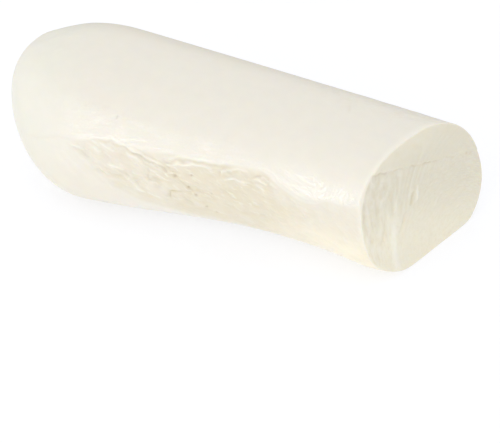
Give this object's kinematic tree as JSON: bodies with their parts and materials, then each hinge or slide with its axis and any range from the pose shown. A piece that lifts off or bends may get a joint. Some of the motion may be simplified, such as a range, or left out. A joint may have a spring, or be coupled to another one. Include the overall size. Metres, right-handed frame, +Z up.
{
  "type": "mozzarella loaf",
  "caption": "Log-shaped loaf of fresh white mozzarella with a rounded end, a slanting cut end, a pressed wrinkled side and a flat base to lie on.",
  "frame": {"origin": "on the table, under the middle of the loaf's bounding box", "axes": "+X along the loaf from the rounded end to the cut end, -Y towards the pressed front side, +Z up"},
  "size_m": [0.2114, 0.0846, 0.0678],
  "materials": {
    "cheese": "satin, moist"
  },
  "bodies": {
    "root": {"loaf": "cheese"}
  },
  "joints": []
}
